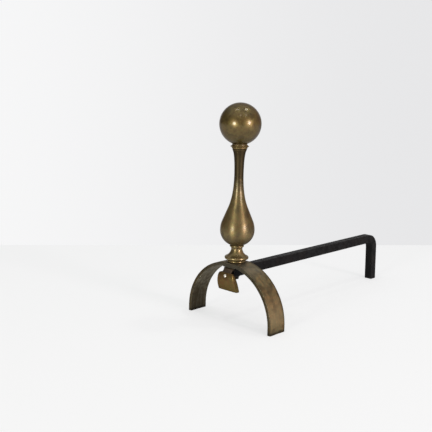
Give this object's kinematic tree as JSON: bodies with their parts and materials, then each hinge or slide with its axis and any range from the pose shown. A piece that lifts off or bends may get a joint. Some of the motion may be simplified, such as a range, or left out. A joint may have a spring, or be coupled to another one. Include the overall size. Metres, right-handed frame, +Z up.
{
  "type": "andiron",
  "caption": "Brass andiron: a hollow ball on a turned baluster post, arched strap legs with a drop tongue, and a square iron billet bar bent down into a rear leg.",
  "frame": {"origin": "on the hearth, under the centre of the bounding box", "axes": "+Z up, +Y from the post back into the fire along the billet bar, +X to the right across the legs"},
  "size_m": [0.2254, 0.5512, 0.4403],
  "materials": {
    "aged_brass": "satin, aged to a mottled olive brown",
    "black_iron": "matte, blackened by heat",
    "dark_steel": "dull, darkened"
  },
  "bodies": {
    "root": {"ball_finial": "aged_brass", "ball_boss": "aged_brass", "finial_collar": "aged_brass", "column": "aged_brass", "pedestal": "aged_brass", "leg_arch": "aged_brass", "front_tongue": "aged_brass", "billet_bar": "black_iron", "tie_rod": "dark_steel", "washer": "dark_steel", "clamp_nut": "dark_steel"}
  },
  "joints": []
}
